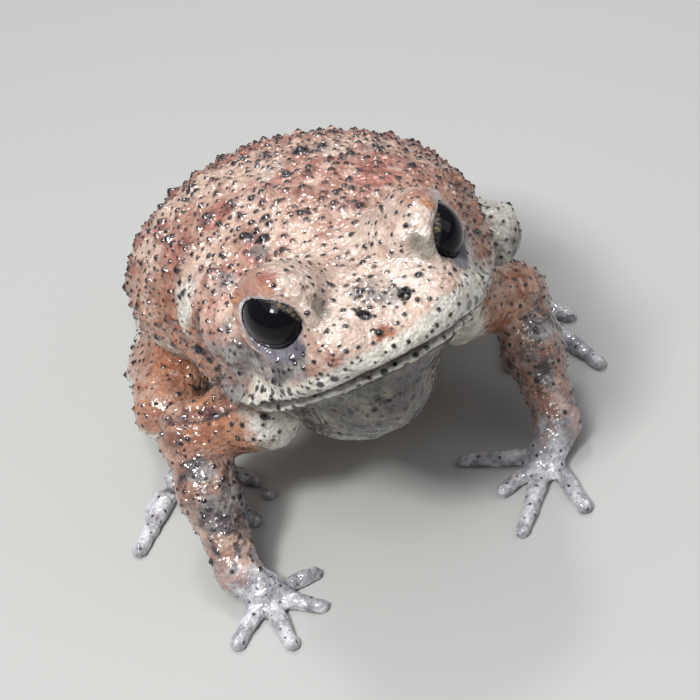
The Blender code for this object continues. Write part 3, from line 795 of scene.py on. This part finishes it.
def eye_material():
    made, tree, shader = new_material("dark glossy eye")
    place = millimetres(tree)
    # Bronze mottles over a navy-tinted dark; the navy is a painted sky reflection
    iris = mix_colour(tree, steps(tree, cloud(tree, place, 2.5), 0.42, 0.62), *IRIS_AND_SKY_TINT)
    colour = mix_colour(tree, attribute(tree, "iris"), PUPIL_COLOUR, iris)
    tree.links.new(colour, shader.inputs["Base Color"])
    for socket, value in EYE_FINISH.items():
        shader.inputs[socket].default_value = value
    return made


# The pieces

def row_shift():
    """What takes the forms' place in millimetres to the row's frame, read from the eyes' solids."""
    boxes = [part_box("eye_" + side) for side in SIDES]
    middle = sum((low + high for low, high in boxes), Vector()) / 4 / MM
    return np.array(middle) - np.array(head_point(0.0, EYE_FORWARD, EYE_UP))


def skin_colours(corners, normals, share, tip, halo):
    """The share of each colour on the skin, by the name of its layer."""
    across, forward, up = head_frame(corners)
    aside = np.abs(across)
    mouth = mouth_height(corners)
    ring, lid_height = (np.where(corners[:, 0] > 0, left, right)
                        for left, right in zip(lid_ring(corners, 1)[:2], lid_ring(corners, -1)[:2]))
    lid = share["head"] * smooth(share["eye"], 3.0, 2.5)
    rims = [limb(corners, [head_point(side * x, y, z) for x, y, z in RIM_LINE], RIM_RADII)
            for side in SIDES.values()]
    rim = 0.95 * share["head"] * smooth(np.minimum(*rims), 0.5, 0.2)
    rim = rim * np.where(corners[:, 0] > 0, smooth(forward, 1.0, 2.2), 1.0)
    lower_lid = lid * smooth(ring, 1.16, 1.06) * smooth(lid_height, 0.0, -0.4)
    lid_edge = share["head"] * smooth(share["eye"], 0.5, 0.3)
    head = share["head"] * (1.0 - share["jaw"]) * (1.0 - share["lip"])
    cheek = head * smooth(up, -2.0, -4.5) * smooth(aside, 5.5, 8.5) * smooth(forward, 7.0, 4.0)
    flank = share["torso"] * smooth(normals[:, 2], 0.8, 0.3)
    shadow = lid * smooth(ring, 1.25, 1.4) * smooth(ring, 1.75, 1.5) * smooth(lid_height, -0.4, -0.8)
    inner_arm = share["upper_arm"] * smooth(np.abs(corners[:, 0]), 17.0, 13.0)
    inner_arm = inner_arm * smooth(normals[:, 1], 0.1, -0.4)
    patches = smooth(noise(corners, 9.0, 8), 0.1, 0.6)
    blush = smooth(noise(corners, 6.0, 4), -0.1, 0.5)
    # Painted shade in the nostrils' hollows
    nostril_shade = smooth(nostril_field(corners), 0.25, 0.0)
    knee = share["shank"] + share["thigh"] * smooth(corners[:, 1], 40.0, 36.0)
    white_knee = knee * np.where(corners[:, 0] > 0, 0.95, 0.9 * smooth(corners[:, 2], 10.0, 8.0))
    neck = np.abs(ellipsoid(corners, NECK_FOLD_CENTRE, NECK_FOLD_RADII))
    # Painted shade in the groove of the neck's fold
    fold_shade = smooth(neck, 1.6, 0.4) * smooth(aside, 9.0, 14.0) * smooth(corners[:, 2], 34.0, 31.0)
    lower_lip = share["jaw"] * smooth(mouth, -2.1, -1.5) * smooth(forward, -9.0, -6.0)
    wave = 0.3 * noise(corners, 0.8, 9)
    # Dark clouds on the throat, and painted shade over the throat's right half
    throat_clouds_and_shade = 0.55 * smooth(noise(corners, 6.0, 6), 0.2, 0.6) + 0.3 * smooth(across, 5.0, 0.0)
    arm_clouds = smooth(noise(corners, 2.6, 14), 0.0, 0.5)
    spots = {name: patch(corners, name) for name in PATCHES}
    return {
        "tip": tip,
        "pale": 0.6 * head * smooth(up, -4.0, -1.0) * smooth(aside, 10.0, 7.0) + 1.2 * spots["pale"]
                + 0.5 * head * smooth(forward, 1.5, 4.0) * smooth(up, -6.0, -4.0) + 0.3 * flank * patches,
        "rose": 0.6 * blush * share["torso"] + 0.4 * blush * head + 0.9 * spots["rose"],
        "orange": 0.8 * share["upper_arm"] + 0.5 * share["forearm"] + rim + 0.8 * share["thigh"]
                  + 1.3 * spots["orange"] + 1.05 * flank * (1.0 - 0.5 * patches) * (1.0 - spots["pale"]),
        "stain": halo * (0.7 * share["torso"] + 0.4 * share["head"] + 0.6 * share["upper_arm"]
                         + 0.5 * share["forearm"]) * (1.0 - share["jaw"])
                 + 0.4 * spots["orange"] * share["torso"],
        "grey": 0.85 * cheek + share["forearm"] * (0.45 + 0.3 * patches)
                + spots["grey"] * (0.8 - 0.25 * head),
        "beige": 0.95 * spots["beige"],
        "cream": share["lip"] + 0.9 * lower_lip + inner_arm + 0.6 * share["torso"] * share["below"]
                 + white_knee + 0.75 * spots["cream"],
        # The throat's olive, darkened as painted shade under the head
        "olive_and_shade": share["jaw"] * (1.0 - lower_lip),
        "lilac": share["hand"] + share["foot"] + 0.7 * share["tarsus"] + 0.8 * lid_edge,
        "lavender": 0.9 * lower_lid + 0.8 * spots["lavender"],
        # Dark: the wart clusters' own dark, with painted shade below the eye and in the neck's fold
        "dark": 0.9 * share["cluster"] * halo + 0.8 * shadow + 0.6 * fold_shade
                # The throat's dark clouds, with painted shade over its right half
                + share["jaw"] * throat_clouds_and_shade * (1.0 - lower_lip) + 0.5 * share["forearm"] * arm_clouds,
        # Partly the lip's dark edge, partly painted shade in the mouth's slit, and painted shade in the
        # nostrils
        "lip_edge_and_recess_shade": head_line(share, mouth + wave - 0.3 * smooth(aside, 8.0, 13.0), forward) + nostril_shade,
    }


def head_line(share, mouth, forward):
    """The black line of the mouth, on the upper lip's underside: partly the lip's own dark edge, partly
    painted shade in the mouth's slit.
    """
    return share["head"] * smooth(mouth, 0.5, 0.3) * smooth(mouth, -0.2, 0.0) * smooth(forward, -9.5, -8.5)


def make_skin(shift, random):
    corners, quads = skin_surface(SKIN_STEP)
    normals = quad_normals(corners, quads)
    share = regions(corners, normals)
    tree = near_tree(corners)
    lift, tip, halo = raise_warts(corners, tree, share, random)
    mouth = mouth_height(corners)
    paint_dots(corners, tree, tip, share["jaw"] > 0.6, THROAT_DOTS, random)
    paint_dots(corners, tree, tip, share["lip"] > 0.6, LIP_DOTS, random)
    paint_dots(corners, tree, tip, share["hand"] + share["foot"] > 0.75, HAND_DOTS, random)
    row = (share["lip"] > 0.6) & (np.abs(mouth - ROW_HEIGHT) < 0.15)
    for side, sizes in ROW_DOTS.items():
        paint_dots(corners, tree, tip, row & (corners[:, 0] * SIDES[side] > 8.0), sizes, random)
    wrinkle = sum(height * noise(corners, size, seed) for height, size, seed in WRINKLES)
    wrinkle = wrinkle * smooth(share["eye"], 0.2, 1.5) * (1.0 - 0.6 * share["lip"])
    place = corners + normals * (lift + wrinkle)[:, None]
    place[:, 2] = np.maximum(place[:, 2], FLOOR_TRIM)
    underside = corners[:, 2] < FLOOR_TRIM
    place[underside, :2] = corners[underside, :2]
    made = mesh_object("skin", (place + shift) * MM, quads, skin_colours(corners, normals, share, tip, halo))
    made.data.materials.append(skin_material())
    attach(made, "root")
    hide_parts(*(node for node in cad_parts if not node.startswith("eye_")))
    return made


def make_eye(name, side, shift, finish):
    """One eyeball, with an iris round a wide dark pupil that lies level in the opening."""
    ball = bmesh.new()
    bmesh.ops.create_uvsphere(ball, u_segments=96, v_segments=64, radius=1.0)
    tilt = Matrix.Rotation(radians(-HEAD_PITCH), 4, "X")
    centre = Vector(head_point(side * EYE_SPREAD, EYE_FORWARD, EYE_UP))
    place = Matrix.Translation(centre) @ tilt @ Matrix.Diagonal((*EYE_RADII, 1.0))
    bmesh.ops.transform(ball, verts=ball.verts, matrix=place)
    mesh = bpy.data.meshes.new(name)
    ball.to_mesh(mesh)
    ball.free()
    corners = np.empty(len(mesh.vertices) * 3, np.float32)
    mesh.vertices.foreach_get("co", corners)
    corners = corners.reshape(-1, 3)
    out, front, top = eye_frame(corners, side)
    pupil = np.sqrt(((front - PUPIL_MIDDLE[0]) / PUPIL_RADII[0]) ** 2
                    + ((top - PUPIL_MIDDLE[1]) / PUPIL_RADII[1]) ** 2
                    + np.where(out > 0, 0, OUTSIDE))
    layer = mesh.attributes.new("iris", "FLOAT", "POINT")
    layer.data.foreach_set("value", smooth(pupil, 0.95, 1.05).astype(np.float32))
    mesh.vertices.foreach_set("co", ((corners + shift) * MM).astype(np.float32).ravel())
    mesh.shade_smooth()
    mesh.materials.append(finish)
    made = bpy.data.objects.new(name, mesh)
    bpy.context.scene.collection.objects.link(made)
    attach(made, "root")
    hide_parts(name)
    return made


# The studio

def make_floor():
    bpy.ops.mesh.primitive_plane_add(size=4.0)
    floor = bpy.context.object
    floor.name = "studio_floor"
    made, _, shader = new_material("pale floor")
    shader.inputs["Base Color"].default_value = FLOOR_COLOUR
    shader.inputs["Roughness"].default_value = 0.7
    floor.data.materials.append(made)


def add_light(name, target, azimuth, elevation, distance, size, power):
    """A square soft light that looks at the target. Azimuth 0 is in front of the toad."""
    a, e = radians(azimuth), radians(elevation)
    away = Vector((sin(a) * cos(e), -cos(a) * cos(e), sin(e)))
    data = bpy.data.lights.new(name, "AREA")
    data.size = size
    data.energy = power
    light = bpy.data.objects.new(name, data)
    light.location = Vector(target) + away * distance
    light.rotation_mode = "QUATERNION"
    light.rotation_quaternion = away.to_track_quat("Z", "Y")
    bpy.context.scene.collection.objects.link(light)


def make_studio(shift):
    world = bpy.data.worlds.new("studio")
    world.use_nodes = True
    world.node_tree.nodes["Background"].inputs["Color"].default_value = WORLD_COLOUR
    world.node_tree.nodes["Background"].inputs["Strength"].default_value = WORLD_STRENGTH
    bpy.context.scene.world = world
    middle = Vector(np.array(LIT_POINT) + shift) * MM
    for name, settings in LIGHTS.items():
        add_light(name, middle, *settings)


def make_camera(shift):
    a, e, r = radians(CAMERA_AZIMUTH), radians(CAMERA_ELEVATION), radians(CAMERA_ROLL)
    back = Vector((-sin(a) * cos(e), -cos(a) * cos(e), sin(e)))
    level = Vector((0, 0, 1)).cross(back).normalized()
    rise = back.cross(level)
    right = level * cos(r) - rise * sin(r)
    up = level * sin(r) + rise * cos(r)
    look = Vector(np.array((0.0, 0.0, EYE_HEIGHT)) + shift)
    data = bpy.data.cameras.new("photo")
    data.sensor_width = SENSOR
    data.lens = PIXELS_PER_MM * CAMERA_DISTANCE / FRAME_PIXELS * SENSOR
    data.shift_x = (FRAME_PIXELS / 2 - EYES_PIXEL[0]) / FRAME_PIXELS
    data.shift_y = (EYES_PIXEL[1] - FRAME_PIXELS / 2) / FRAME_PIXELS
    data.clip_start = 0.01
    data.clip_end = 20.0
    camera = bpy.data.objects.new("photo", data)
    turn = Matrix((right, up, back)).transposed().to_4x4()
    camera.matrix_world = Matrix.Translation((look + back * CAMERA_DISTANCE) * MM) @ turn
    bpy.context.scene.collection.objects.link(camera)
    bpy.context.scene.camera = camera


def main():
    shift = row_shift()
    random = np.random.default_rng(SEED)
    make_skin(shift, random)
    finish = eye_material()
    for side in SIDES:
        make_eye("eye_" + side, SIDES[side], shift, finish)
    make_floor()
    make_studio(shift)
    make_camera(shift)
    bpy.context.scene.view_settings.view_transform = "Standard"


main()
